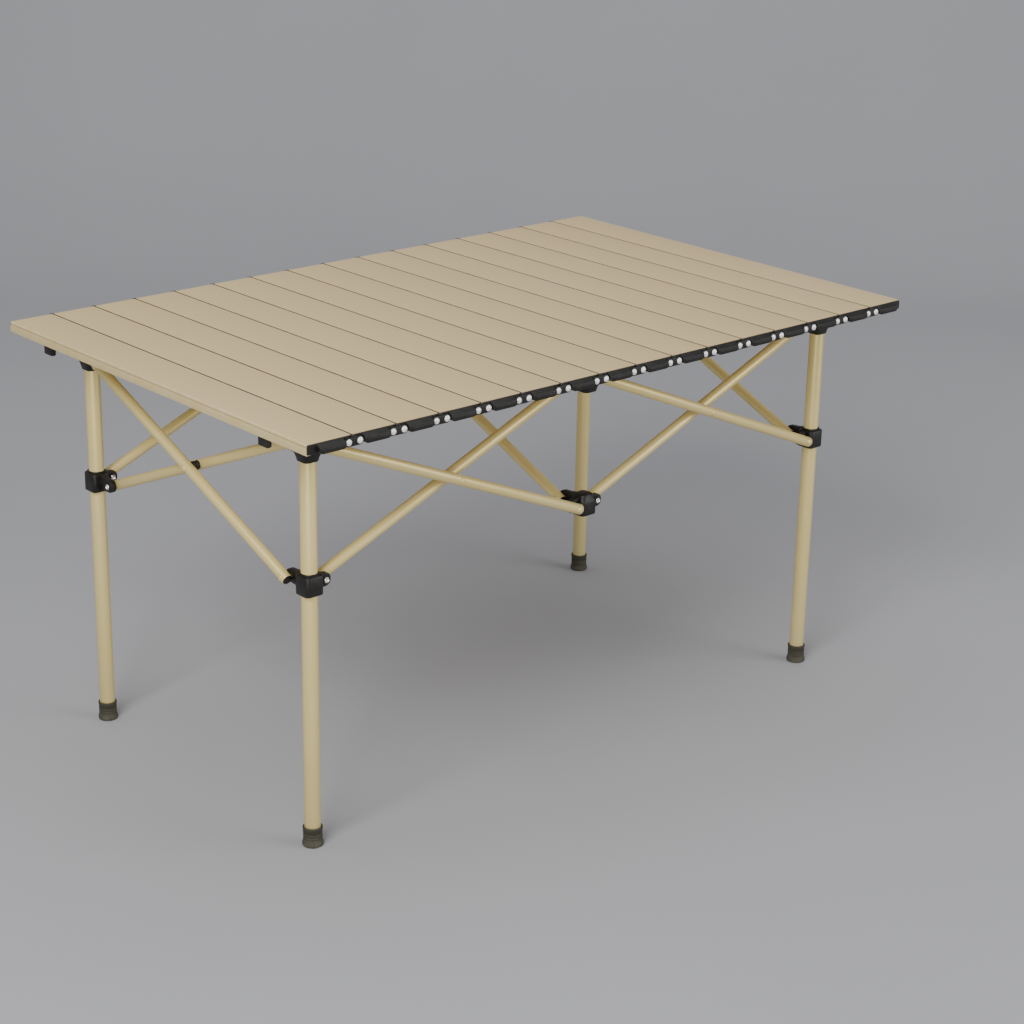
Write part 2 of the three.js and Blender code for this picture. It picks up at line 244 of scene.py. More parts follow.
class Finish:
    """One material and the nodes that it is made of."""

    def __init__(self, name, metallic=0.0, roughness=0.5, **fixed):
        self.material = bpy.data.materials.new(name)
        self.material.use_nodes = True
        self.tree = self.material.node_tree
        self.shader = self.tree.nodes["Principled BSDF"]
        self.set("Metallic", metallic)
        self.set("Roughness", roughness)
        for socket, value in fixed.items():
            self.set(socket.replace("_", " "), value)
        self.place = self.node("ShaderNodeTexCoord").outputs["Object"]

    def node(self, kind, settings=None, inputs=None):
        """A node of that kind: its settings first, then its inputs' values or links."""
        made = self.tree.nodes.new(kind)
        for key, value in (settings or {}).items():
            if key == "stops":
                self.stops(made.color_ramp, value)
            else:
                setattr(made, key, value)
        for key, value in (inputs or {}).items():
            self.feed(made.inputs[key], value)
        return made

    def feed(self, socket, value):
        """Links a Number or a socket to an input, or sets the input to a value."""
        if isinstance(value, Number):
            value = value.socket
        if isinstance(value, bpy.types.NodeSocket):
            self.tree.links.new(value, socket)
        else:
            socket.default_value = value

    def stops(self, ramp, stops):
        """A ramp's stops as (position, brightness) rows."""
        for element, (position, level) in zip(ramp.elements, (stops[0], stops[-1])):
            element.position, element.color = position, (level, level, level, 1)
        for position, level in stops[1:-1]:
            ramp.elements.new(position).color = (level, level, level, 1)

    def set(self, socket, value):
        """Feeds one input of the material's shader."""
        self.feed(self.shader.inputs[socket], value)

    def maths(self, operation, *values):
        """One Math node on numbers."""
        made = self.node("ShaderNodeMath", {"operation": operation}, dict(enumerate(values)))
        return Number(self, made.outputs[0])

    def clamped(self, value):
        """The value kept between 0 and 1."""
        made = self.node("ShaderNodeClamp", inputs={"Value": value})
        return Number(self, made.outputs[0])

    def ramp(self, value, stops):
        """The value read off a ramp of (position, brightness) stops."""
        made = self.node("ShaderNodeValToRGB", {"stops": stops}, {"Fac": value})
        return Number(self, made.outputs["Color"])

    def axis(self, name):
        """One coordinate of the place on the piece, in metres."""
        made = self.node("ShaderNodeSeparateXYZ", inputs={0: self.place})
        return Number(self, made.outputs[name])

    def noise(self, scale, stretch=(1, 1, 1), detail=3.0, roughness=0.55):
        """Soft noise of about `scale` features a metre, from 0 to 1."""
        moved = self.node("ShaderNodeMapping", inputs={"Vector": self.place, "Scale": stretch})
        settings = {"Vector": moved.outputs[0], "Scale": scale}
        settings.update({"Detail": detail, "Roughness": roughness})
        return Number(self, self.node("ShaderNodeTexNoise", inputs=settings).outputs[0])

    def cells(self, scale):
        """Distance to the nearest of scattered points, about `scale` of them a metre."""
        made = self.node("ShaderNodeTexVoronoi", inputs={"Vector": self.place, "Scale": scale})
        return Number(self, made.outputs["Distance"])

    def blend(self, mask, low, high):
        """Colour that goes from low to high as the mask goes from 0 to 1."""
        inputs = {0: mask, 6: low, 7: high}
        return self.node("ShaderNodeMix", {"data_type": "RGBA"}, inputs).outputs[2]

    def bump(self, height, depth):
        """Raises the surface by height x depth, in metres."""
        inputs = {"Height": height, "Distance": depth, "Strength": 1.0}
        self.set("Normal", self.node("ShaderNodeBump", inputs=inputs).outputs[0])


def rgb(red, green, blue):
    """A colour given as screen values from 0 to 255, as linear light."""
    s = np.array([red, green, blue]) / 255
    linear = np.where(s <= 0.04045, s / 12.92, ((s + 0.055) / 1.055) ** 2.4)
    return (*linear.tolist(), 1.0)


print("shader helpers ready")

# %% [markdown]
# ## The slats' finish
#
# The slats are drawn aluminium with a satin champagne coat. A flat colour would
# look like paper. A real one drifts slowly between a warmer and a greener beige,
# shows fine lines along its length, where the die drew it, and is rubbed a little
# brighter along its two long edges. Painted shade, with a little grime, darkens
# the seams and draws each one as a dark line. The seams repeat every slat, so the
# distance to the nearest one is worked out from X alone. The two outer faces of
# the top have no seam: below their edge they are painted a darker olive as shade,
# with one dark line of painted shade in the groove.

# %% Slat finish
SLAT_COUNT = 16
SEAM_GAP = 0.0005
SEAM_SHADE = 0.0017
OUTER_MARGIN = 0.0016
GROOVE_MIDDLE = 0.0040
top_low, top_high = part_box("slat_01")[0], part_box("slat_16")[1]
PITCH = (top_high[0] - top_low[0] + SEAM_GAP) / SLAT_COUNT
TOP_LEFT = -SLAT_COUNT * PITCH / 2
OUTER_END = -TOP_LEFT - OUTER_MARGIN
SLAT_TOP = top_high[2]


def slat_finish():
    f = Finish("slat_satin_champagne", metallic=0.24, Specular_IOR_Level=0.45)
    drift = f.noise(1.6, detail=3.0)
    mottle = f.noise(34.0, (1, 0.30, 1), detail=4.0, roughness=0.55)
    lines = f.noise(900.0, (1, 0.012, 1), detail=2.0)
    scuffs = f.ramp(f.noise(24.0, (1, 5.0, 1), detail=6.0, roughness=0.7), [(0.60, 0), (0.74, 1)])
    across = f.axis("X")
    step = f.maths("FRACT", (across - TOP_LEFT) / PITCH)
    from_seam = f.maths("MINIMUM", step, 1 - step) * PITCH
    inside = f.clamped((OUTER_END - f.maths("ABSOLUTE", across)) / 0.0002)
    # painted shade with some grime: a dark line along each seam
    seam = f.clamped((SEAM_SHADE - from_seam) / 0.0004) * inside
    edge = f.clamped(1 - (from_seam - 0.0022) / 0.0014)
    rubbed = f.clamped(edge * f.ramp(f.noise(60.0, detail=4.0), [(0.40, 0), (0.64, 1)]))
    beige = f.blend(f.ramp(drift, [(0.35, 0), (0.65, 1)]), rgb(226, 200, 146), rgb(229, 203, 153))
    beige = f.blend(f.clamped(mottle * 0.4 + lines * 0.25), beige, rgb(220, 194, 142))
    beige = f.blend(scuffs * 0.16, beige, rgb(226, 212, 178))
    beige = f.blend(rubbed * 0.5, beige, rgb(234, 222, 190))
    depth = SLAT_TOP - f.axis("Z")
    face = 1 - inside
    # painted shade: the outer faces turn a darker olive below their top edge
    beige = f.blend(face * f.clamped((depth - 0.0010) / 0.0008) * 0.6, beige, rgb(202, 183, 128))
    # painted shade: a dark line in the outer faces' groove
    groove_shade = face * f.clamped(1 - f.maths("ABSOLUTE", depth - GROOVE_MIDDLE) / 0.0009)
    f.set("Base Color", f.blend(f.clamped(seam + groove_shade * 0.6) * 0.92, beige, rgb(38, 33, 26)))
    f.set("Roughness", f.clamped(0.44 + (mottle - 0.5) * 0.12 + scuffs * 0.07 + seam * 0.3))
    f.bump(lines * 0.5 + mottle * 0.5, 0.00005)
    return f.material


SLAT = slat_finish()
print("slat pitch", round(float(PITCH), 5))

# %% [markdown]
# ## The tubes' finish
#
# Legs and bars are thin drawn tube in nearly the same coat, a little more yellow.
# A fine speckle without direction suits the legs and the sloping bars alike, and
# faint drawn lines run along Z. Legs pick up dull dust near the floor.

# %% Tube finish
def tube_finish():
    f = Finish("tube_satin_champagne", metallic=0.32, Specular_IOR_Level=0.5)
    drift = f.noise(5.0, detail=4.0)
    speckle = f.noise(420.0, detail=3.0, roughness=0.65)
    drawn = f.noise(700.0, (1, 1, 0.03), detail=2.0)
    scuffs = f.ramp(f.noise(55.0, (1, 1, 2.5), detail=6.0, roughness=0.72), [(0.62, 0), (0.73, 1)])
    dust = f.clamped(1 - f.axis("Z") / 0.16) * f.noise(30.0, detail=5.0)
    beige = f.blend(f.ramp(drift, [(0.35, 0), (0.65, 1)]), rgb(223, 203, 132), rgb(229, 209, 146))
    beige = f.blend(speckle * 0.35, beige, rgb(213, 195, 128))
    beige = f.blend(scuffs * 0.35, beige, rgb(230, 221, 194))
    f.set("Base Color", f.blend(dust * 0.5, beige, rgb(158, 148, 124)))
    f.set("Roughness", f.clamped(0.40 + (speckle - 0.5) * 0.12 + dust * 0.2 + scuffs * 0.08))
    f.bump(drawn * 0.6 + speckle * 0.4, 0.00006)
    return f.material


TUBE = tube_finish()

# %% [markdown]
# ## Black fittings, rubber and steel
#
# The brackets, hubs, caps and links are moulded in black nylon: a fine grained
# skin, greyer where fingers and tubes have rubbed it. The feet are a softer dark
# olive rubber, with floor dust low down. The rivets are bright steel and the pins
# are nickel plated, both finely speckled and a little stained.

# %% Nylon finish
def nylon_finish():
    f = Finish("black_nylon", metallic=0.0, Specular_IOR_Level=0.36)
    grain = f.noise(2600.0, detail=2.0, roughness=0.7)
    patches = f.noise(70.0, detail=5.0, roughness=0.65)
    rubbed = f.ramp(patches, [(0.52, 0), (0.72, 1)])
    black = f.blend(patches, rgb(19, 18, 16), rgb(29, 27, 24))
    f.set("Base Color", f.blend(rubbed * 0.4, black, rgb(58, 56, 50)))
    f.set("Roughness", f.clamped(0.42 + (grain - 0.5) * 0.25 + rubbed * 0.16))
    f.bump(grain * 0.6 + patches * 0.4, 0.00009)
    return f.material


NYLON = nylon_finish()

# %% Rubber finish
def rubber_finish():
    f = Finish("olive_rubber", metallic=0.0, Specular_IOR_Level=0.3)
    pores = f.cells(1500.0)
    patches = f.noise(90.0, detail=5.0, roughness=0.6)
    dust = f.clamped(1 - f.axis("Z") / 0.02) * f.ramp(patches, [(0.3, 0.2), (0.7, 1)])
    olive = f.blend(patches, rgb(50, 48, 38), rgb(68, 66, 53))
    f.set("Base Color", f.blend(dust * 0.4, olive, rgb(112, 107, 92)))
    f.set("Roughness", f.clamped(0.74 + (patches - 0.5) * 0.2 + dust * 0.1))
    f.bump(pores * 0.4 + patches * 0.6, 0.00012)
    return f.material


RUBBER = rubber_finish()

# %% Steel and pin finishes
def steel_finish(name, metallic, dull, bright, stained):
    f = Finish(name, metallic=metallic)
    speckle = f.noise(1400.0, detail=3.0, roughness=0.6)
    stain = f.ramp(f.noise(260.0, detail=4.0), [(0.5, 0), (0.75, 1)])
    f.set("Base Color", f.blend(stain * 0.4, f.blend(speckle, dull, bright), stained))
    f.set("Roughness", f.clamped(0.24 + (speckle - 0.5) * 0.14 + stain * 0.2))
    f.bump(speckle, 0.00002)
    return f.material


STEEL = steel_finish("rivet_steel", 1.0, rgb(226, 224, 216), rgb(246, 244, 238), rgb(168, 160, 142))
PIN = steel_finish("pin_nickel", 0.35, rgb(236, 234, 226), rgb(252, 250, 244), rgb(200, 194, 178))
print("finishes:", [m.name for m in (SLAT, TUBE, NYLON, RUBBER, STEEL, PIN)])

# %% [markdown]
# ## The slats
#
# A slat is an extrusion: one section, the same all along. Its section is a
# channel, open below between two small lips, with a shallow groove just under each
# top edge and edges that slope in, so that the top can roll up. One closed outline
# with small corner arcs, carried along Y, gives all of that, and the CAD slat gives
# its place.

# %% A slat's section
SLAT_UNDER = top_low[2]
SLAT_THICK = SLAT_TOP - SLAT_UNDER
END_CAP = 0.011
SLAT_END = top_high[1] - END_CAP
HALF_SLAT = (PITCH - SEAM_GAP) / 2
SLAT_WALL = 0.0011
SIDE_WALL = 0.0017
SLAT_LIP = 0.0070
EDGE_SLOPE = 0.0011
GROOVE_IN = 0.0010


def slat_section():
    """The channel's outline. Half of its corners are given, as (x, depth below the top
    face, corner radius), and the other half mirrors them."""
    w, t = HALF_SLAT, SLAT_THICK
    right = np.array([
        (w - EDGE_SLOPE, 0.0, 0.0007),
        (w - 0.00045, 0.0031, 0.0003),
        (w - GROOVE_IN, 0.0035, 0.0002),
        (w - GROOVE_IN, 0.0047, 0.0002),
        (w, 0.0052, 0.0003),
        (w, t, 0.0006),
        (w - SLAT_LIP, t, 0.0005),
        (w - SLAT_LIP, t - SLAT_WALL, 0.0003),
        (w - SIDE_WALL, t - SLAT_WALL, 0.0003),
        (w - SIDE_WALL, 0.0056, 0.0003),
        (w - 0.0030, SLAT_WALL, 0.0004),
    ])
    left = right[::-1] * [-1, 1, 1]
    corners = np.concatenate([right, left])
    corners[:, 1] *= -1
    return rounded(corners[:, :2], corners[:, 2], steps=4)


SECTION = slat_section()

for number in range(1, SLAT_COUNT + 1):
    name = f"slat_{number:02d}"
    low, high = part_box(name)
    middle = (low[0] + high[0]) / 2
    rings = placed(SECTION[None], [-SLAT_END, SLAT_END], AXES["y"], (middle, 0, SLAT_TOP))
    made = piece(name + "_extrusion", [skin(rings)], SLAT, name + "_body", 30)
    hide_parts(name)
print("slat section points", len(SECTION))

# %% [markdown]
# ## End plugs and caps
#
# Each slat's open end is closed with a thin black plug, and over it stands a long
# cap that takes the knocks. The cap's outline is a rounded rectangle with larger
# corners below, and its outer face is bevelled. Its top falls away outwards, so that
# nothing catches on it: each point sinks by its distance out times the slope, less
# and less towards the cap's lower face. A smaller slab stands out as a raised panel.

# %% Plugs and caps
PLUG_HALF = 0.0330
CAP_HALF = 0.020
CAP_TOP, CAP_BOTTOM = SLAT_TOP - 0.0006, SLAT_UNDER + 0.0014
CAP_CORNERS = [0.0052, 0.0052, 0.0016, 0.0016]
CAP_SLOPE = 0.40
PANEL_INSET = 0.0035


def outline_box(x0, x1, z0, z1, radii, steps=6):
    """A rounded rectangle, its four corner radii given from the lower left round."""
    return rounded([(x0, z0), (x1, z0), (x1, z1), (x0, z1)], radii, steps)


def sloped(shell):
    """The shell with its top sunk by CAP_SLOPE x distance out x height in the cap."""
    points, faces = shell
    out = np.clip(np.abs(points[:, 1]) - SLAT_END, 0, None)
    height = (points[:, 2] - CAP_BOTTOM) / (CAP_TOP - CAP_BOTTOM)
    points[:, 2] -= CAP_SLOPE * out * np.clip(height, 0, 1)
    return points, faces


def end_slab(outline, side, near, far, bevel):
    """An outline carried along Y at the front (-1) or the back (+1), from one distance
    past the aluminium's end to another."""
    low, high = sorted((side * (SLAT_END + near), side * (SLAT_END + far)))
    return slab(outline, low, high, bevel, AXES["y"])


for number in range(1, SLAT_COUNT + 1):
    name = f"slat_{number:02d}"
    low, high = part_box(name)
    x = (low[0] + high[0]) / 2
    plug = outline_box(x - PLUG_HALF, x + PLUG_HALF, SLAT_UNDER + SLAT_WALL, SLAT_TOP - 0.0007, 0.0012)
    cap = outline_box(x - CAP_HALF, x + CAP_HALF, CAP_BOTTOM, CAP_TOP, CAP_CORNERS)
    panel = outline_box(x - CAP_HALF + PANEL_INSET, x + CAP_HALF - PANEL_INSET,
                        CAP_BOTTOM + 0.0032, CAP_TOP - 0.0026, 0.0018)
    shells = []
    for side in (-1, 1):
        shells.append(end_slab(plug, side, -0.0004, 0.002, 0.0004))
        shells.append(sloped(end_slab(cap, side, -0.0002, END_CAP - 0.0008, 0.0011)))
        shells.append(sloped(end_slab(panel, side, 0.004, END_CAP, 0.0006)))
    piece(name + "_end_caps", shells, NYLON, name + "_body")
print("caps made for", SLAT_COUNT, "slats")

# %% [markdown]
# ## Links and pins
#
# Between two caps a short link bridges the seam, held by a bright pin in each
# slat. The pins turn with their own slats. The link belongs to neither body and
# stays where it is made.

# %% Links and their pins
PIN_SPREAD = 0.0086
PIN_DEPTH = 0.0079
PIN_RADIUS = 0.0043
PIN_SHANK = 0.0026
LINK_HALF = 0.0140
LINK_BACK, LINK_OUT = 0.0021, 0.0064
TAB_HALF = 0.0036
TAB_OUT = 0.0050


def pin(x, side):
    """A domed pin head: a short rim, then a quarter round up to a small flat."""
    head = arc((0.0, 0.0), PIN_RADIUS, 12, 84, 7) * [1, 0.6]
    profile = np.concatenate([[(PIN_SHANK, -0.004), (PIN_SHANK, 0.0), (PIN_RADIUS, 0.0)], head])
    axes = np.array([[1, 0, 0], [0, 0, 1], [0, side, 0]], float)
    return turned(profile, axes, (x, side * (SLAT_END + LINK_OUT), SLAT_TOP - PIN_DEPTH), 24)


pin_places = {number: [] for number in range(1, SLAT_COUNT + 1)}
for number in range(1, SLAT_COUNT):
    seam = TOP_LEFT + number * PITCH
    pin_places[number].append(seam - PIN_SPREAD)
    pin_places[number + 1].append(seam + PIN_SPREAD)
    link = outline_box(seam - LINK_HALF, seam + LINK_HALF, SLAT_TOP - PIN_DEPTH - 0.0058,
                       SLAT_TOP - 0.0024, 0.0045, 7)
    tab = outline_box(seam - TAB_HALF, seam + TAB_HALF, SLAT_TOP - 0.0046, SLAT_TOP - 0.0004, 0.0011)
    shells = []
    for side in (-1, 1):
        shells.append(end_slab(link, side, LINK_BACK, LINK_OUT, 0.0009))
        shells.append(end_slab(tab, side, LINK_BACK, TAB_OUT, 0.0007))
    made = piece(f"link_{number:02d}", shells, NYLON, None)
    seam - 0.006
    seam + 0.006
    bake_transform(made)

for number, places in pin_places.items():
    shells = [pin(x, side) for x in places for side in (-1, 1)]
    piece(f"slat_{number:02d}_pins", shells, PIN, f"slat_{number:02d}_body")
print("links:", SLAT_COUNT - 1, "pin heads:", 4 * (SLAT_COUNT - 1))

# %% [markdown]
# ## The tubes
#
# A tube is turned from a closed profile: up the outside, round the rolled rim and
# down the bore. Because the profile is a loop, the tube really is hollow.

# %% Tube profile
def tube(outer, wall, low, high, axes, origin, count=48, rim=0.0005):
    """A hollow tube: the profile runs up the outside and back down the bore, with a
    small quarter round at each of its four corners."""
    inner = outer - wall
    profile = np.concatenate([
        arc((outer - rim, low + rim), rim, -90, 0, 4),
        arc((outer - rim, high - rim), rim, 0, 90, 4),
        [(inner, high), (inner, low)],
    ])
    return turned(profile, axes, origin, count, loop=True)


LEG_WALL = 0.0012
LEGS = {}
for row in ("front", "back"):
    for hand in ("left", "right"):
        key = f"{row}_{hand}"
        low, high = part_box(key + "_leg")
        LEGS[key] = ((low[0] + high[0]) / 2, (low[1] + high[1]) / 2)
        shell = tube((high[0] - low[0]) / 2, LEG_WALL, low[2], high[2], AXES["z"], (*LEGS[key], 0))
        made = piece(key + "_leg_tube", [shell], TUBE, key + "_leg_body")
        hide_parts(key + "_leg")
print("legs at", LEGS)

# %% [markdown]
# ## The feet
#
# Each foot is a turned rubber boot: a flat base with a rounded edge, a slightly
# wider skirt, three shallow grip rings and a rolled lip that the tube enters.

# %% Feet
FOOT_NECK = 0.0130
FOOT_BORE = 0.0112
GRIP_LEVELS = (0.0105, 0.0145, 0.0185)


def foot_profile(height, base, top, bore):
    """Half of the boot's section as (radius, level), closed through its floor."""
    rings = []
    for level in GRIP_LEVELS:
        rings += [(top, level - 0.0011), (top - 0.0005, level - 0.0005),
                  (top - 0.0005, level + 0.0005), (top, level + 0.0011)]
    return np.concatenate([
        [(0.002, 0.0), (base - 0.0035, 0.0)],
        arc((base - 0.0016, 0.0016), 0.0016, -90, 0, 5),
        [(base, 0.0052), (base - 0.0004, 0.0062), (top, 0.0088)],
        rings,
        [(top, height - 0.0042), (top + 0.0005, height - 0.0034)],
        arc((top - 0.0008, height - 0.0013), 0.0013, 0, 90, 5),
        [(bore + 0.0004, height), (bore, height - 0.0006), (bore, 0.0051), (0.002, 0.005)],
    ])


for key, (x, y) in LEGS.items():
    low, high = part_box(key + "_foot")
    profile = foot_profile(high[2], (high[0] - low[0]) / 2, FOOT_NECK, FOOT_BORE)
    made = piece(key + "_foot_boot", [turned(profile, AXES["z"], (x, y, 0), 56)], RUBBER,
                 key + "_leg_body", 55)
    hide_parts(key + "_foot")
print("feet", len(profile), "profile points")

# %% [markdown]
# ## Brackets, collars and hubs
#
# These mouldings are a square block with well rounded corners, from which flat
# ears reach out to the bars. A block is a row of rings that change from a rounded
# square to a circle, so that a collar can end in a round lip where the tube goes
# through it and a bracket in a round cup.

# %% A block that blends from square to round
BLOCK = 0.014
COLLAR_BORE = 0.01125
BRACKET_CUP, HUB_CUP = 0.0138, 0.0128
square = rounded([(-BLOCK, -BLOCK), (BLOCK, -BLOCK), (BLOCK, BLOCK), (-BLOCK, BLOCK)], 0.0055, 9)
angles = np.arctan2(square[:, 1], square[:, 0])
ring_of = np.stack([np.cos(angles), np.sin(angles)], 1)


def block_rings(rows):
    """Rings from rows of (level, roundness, size): each is the rounded square mixed
    with a circle of radius `size` by `roundness`, from 0 to 1."""
    rows = np.asarray(rows, float)[:, :, None]
    level, mix, size = rows[:, 0], rows[:, 1], rows[:, 2]
    flat = square[None] * (size[..., None] / BLOCK) * (1 - mix[..., None])
    flat = flat + ring_of[None] * size[..., None] * mix[..., None]
    return flat, level[:, 0]


def collar_block(bottom, top, bore, origin):
    """A sleeve: outside with bevels, a round lip at the top, and a bore through it."""
    rows = [
        (bottom, 0, BLOCK - 0.0012), (bottom + 0.0004, 0, BLOCK - 0.0004),
        (bottom + 0.0012, 0, BLOCK), (top - 0.0042, 0, BLOCK),
        (top - 0.0034, 0, BLOCK - 0.0004), (top - 0.0030, 0, BLOCK - 0.0012),
        (top - 0.0028, 1, bore + 0.0024), (top - 0.0006, 1, bore + 0.0023),
        (top, 1, bore + 0.0016), (top, 1, bore + 0.0006),
        (top - 0.0007, 1, bore), (bottom + 0.0007, 1, bore), (bottom, 1, bore + 0.0007),
    ]
    flat, levels = block_rings(rows)
    return skin(placed(flat, levels, AXES["z"], origin), loop=True)


def cup_block(bottom, top, lip, origin):
    """A solid block with a flat bevelled top, whose foot narrows to a round cup."""
    rows = [
        (bottom, 1, lip - 0.0012), (bottom + 0.0005, 1, lip - 0.0003),
        (bottom + 0.0014, 1, lip), (bottom + 0.0045, 0.8, lip + 0.0001),
        (bottom + 0.0085, 0.25, BLOCK - 0.0002), (bottom + 0.0115, 0, BLOCK),
        (top - 0.0012, 0, BLOCK), (top - 0.0004, 0, BLOCK - 0.0004), (top, 0, BLOCK - 0.0012),
    ]
    flat, levels = block_rings(rows)
    return skin(placed(flat, levels, AXES["z"], origin))


# %% [markdown]
# An ear is an upright plate whose end is round about its pivot. Its outline is a
# short polygon with arcs for corners; the radius of the outer two is chosen so that
# together they make the round end.

# %% Ears
WAYS = {"+x": (1, 0), "-x": (-1, 0), "+y": (0, 1), "-y": (0, -1)}
REACH = {"x": 0.023, "y": 0.037}
EAR_HALF = 0.004
EAR_ROUND = 0.0085
EAR_ROOT, EAR_ROOT_HALF = 0.011, 0.0128
EAR_SHOULDER = 0.72
BAR_RADIUS = 0.0075
BAR_PLANE = 0.012


def ear_axes(way):
    """Axes for an ear's plate: out from the block, up, and across the plate."""
    out = np.array([*WAYS[way], 0], float)
    up = np.array([0, 0, 1.0])
    return np.array([out, up, np.cross(out, up)])


def ear_plate(way, origin):
    """The plate, and a raised boss round its pivot that the bar bears against."""
    reach = REACH[way[1]]
    r = EAR_ROUND
    shoulder, tip = reach * EAR_SHOULDER, reach + r
    corners = [(EAR_ROOT, -EAR_ROOT_HALF), (shoulder, -r - 0.0012), (tip, -r), (tip, r),
               (shoulder, r + 0.0012), (EAR_ROOT, EAR_ROOT_HALF)]
    radii = [0.0005, 0.012, r * 0.985, r * 0.985, 0.012, 0.0005]
    plate = slab(rounded(corners, radii, 9), -EAR_HALF, EAR_HALF, 0.0009, ear_axes(way), origin)
    boss_at = np.asarray(origin) + ear_axes(way)[0] * reach
    profile = [(0.002, -0.00445), (0.0062, -0.00445), (0.0067, -0.0040),
               (0.0067, 0.0040), (0.0062, 0.00445), (0.002, 0.00445)]
    return [plate, turned(profile, ear_axes(way), boss_at, 32)]


# %% [markdown]
# A rivet runs through the bar and its ear. Outside the bar it ends in a low dome,
# coated like the tube. On the ear's free face it is rolled over a black washer, and
# shows as a bright ring with a dark hollow.

# %% Rivets
DOME_RADIUS = 0.0042
DOME_RISE = 0.42
DOME_LEVEL = BAR_PLANE + BAR_RADIUS - 0.0004
RING_LIFT, WASHER_LIFT = 0.0012, 0.0004
EAR_SHANK, CROSSING_SHANK = 0.020, 0.035


def across_axes(across, side):
    """Axes for a turned profile whose level runs along `across`, to that side."""
    level_axis = np.asarray(across, float) * side
    up = np.array([0, 0, 1.0])
    return np.array([up, np.cross(level_axis, up), level_axis])


def dome(at, across, level):
    """A low dome on the plane at that level: a quarter round, flattened."""
    near = abs(level)
    cap = arc((0.0, 0.0), DOME_RADIUS, 0, 82, 8) * [1, DOME_RISE] + [0, near]
    profile = np.concatenate([[(0.0020, near - 0.0012), (0.0038, near - 0.0006)], cap])
    return turned(profile, across_axes(across, np.sign(level)), at, 28)


def rolled_ring(at, across, level, depth):
    """The shank, `depth` long, and its end rolled over outwards into a ring."""
    far = abs(level)
    profile = [(0.0012, far - depth), (0.0024, far - depth), (0.0024, far + 0.0002),
               (0.0037, far + 0.0004), (0.0041, far + 0.0010), (0.0038, far + 0.0018),
               (0.0031, far + 0.0022), (0.0025, far + 0.0018), (0.0022, far + 0.0009),
               (0.0012, far + 0.0003)]
    return turned(profile, across_axes(across, np.sign(level)), at, 28)


def washer(at, across, level):
    """The washer that a rolled ring bears on."""
    far = abs(level)
    profile = [(0.0022, far - 0.0004), (0.0064, far - 0.0004), (0.0067, far),
               (0.0067, far + 0.0005), (0.0063, far + 0.0009), (0.0022, far + 0.0009)]
    return turned(profile, across_axes(across, np.sign(level)), at, 32)


# %% [markdown]
# Which side of an ear its bar lies on follows one rule: on the long sides a bar that
# falls to the right lies in front, and on the short sides a bar that falls to the
# back lies to the right.

# %% Build the fittings
PIVOT_TOP, PIVOT_LOW = 0.555, 0.375


def bar_side(way, is_top):
    """+1 or -1: the side along Y (for an X ear) or X (for a Y ear) of its bar."""
    falls = (way[0] == "+") == is_top
    if way[1] == "x":
        return -1 if falls else 1
    return 1 if falls else -1


def fitting(node, body, x, y, pivot, ways, is_top, sleeve):
    """A moulding with an ear each way, and its washers, rivets and domes. A sleeve
    slides on a leg; the other blocks have their cup below, or above in a lower hub."""
    low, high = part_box(node)
    if sleeve:
        shells = [collar_block(low[2], high[2], COLLAR_BORE, (x, y, 0))]
    elif is_top:
        shells = [cup_block(low[2], high[2], BRACKET_CUP, (x, y, 0))]
    else:
        points, faces = cup_block(-high[2], -low[2], HUB_CUP, (0, 0, 0))
        shells = [outward(points * [1, 1, -1] + [x, y, 0], faces)]
    rings, domes = [], []
    for way in ways:
        shells += ear_plate(way, (x, y, pivot))
        at = np.array([x, y, pivot]) + np.array([*WAYS[way], 0]) * REACH[way[1]]
        across = (0, 1, 0) if way[1] == "x" else (1, 0, 0)
        side = bar_side(way, is_top)
        domes.append(dome(at, across, side * DOME_LEVEL))
        rings.append(rolled_ring(at, across, -side * (EAR_HALF + RING_LIFT), EAR_SHANK))
        shells.append(washer(at, across, -side * (EAR_HALF + WASHER_LIFT)))
    made = piece(node + "_moulding", shells, NYLON, body, 35)
    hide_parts(node)
    piece(node + "_rivets", rings, STEEL, body, 50)
    piece(node + "_domes", domes, TUBE, body, 50)


for key, (x, y) in LEGS.items():
    ways = ["+x" if "left" in key else "-x", "+y" if "front" in key else "-y"]
    fitting(key + "_top_bracket", key + "_leg_body", x, y, PIVOT_TOP, ways, True, False)
    fitting(key + "_slide_collar", key + "_collar_body", x, y, PIVOT_LOW, ways, False, True)
for row in ("front", "back"):
    y = LEGS[row + "_left"][1]
    ways = ["+x", "-x", "+y" if row == "front" else "-y"]
    fitting(row + "_top_hub", row + "_top_hub_body", 0, y, PIVOT_TOP, ways, True, False)
    fitting(row + "_lower_hub", row + "_lower_hub_body", 0, y, PIVOT_LOW, ways, False, False)
print("fittings made")

# %% [markdown]
# ## The scissor bars
#
# Fourteen straight tubes cross in seven pairs. Each end is cut square and closed
# with a black plug whose nose is rounded. Where two bars cross, a rivet holds them
# on either side of a black spacer.

# %% Bars
BAR_TAIL = 0.0066
BAR_WALL = 0.0011
SPACER_HALF = 0.0044


def bar_axes(start, end):
    """Axes of a bar: sideways level, upwards across it, and along it."""
    along = (end - start) / np.linalg.norm(end - start)
    level = np.cross(along, [0, 0, 1.0])
    level /= np.linalg.norm(level)
    return np.array([level, np.cross(level, along) * -1, along])


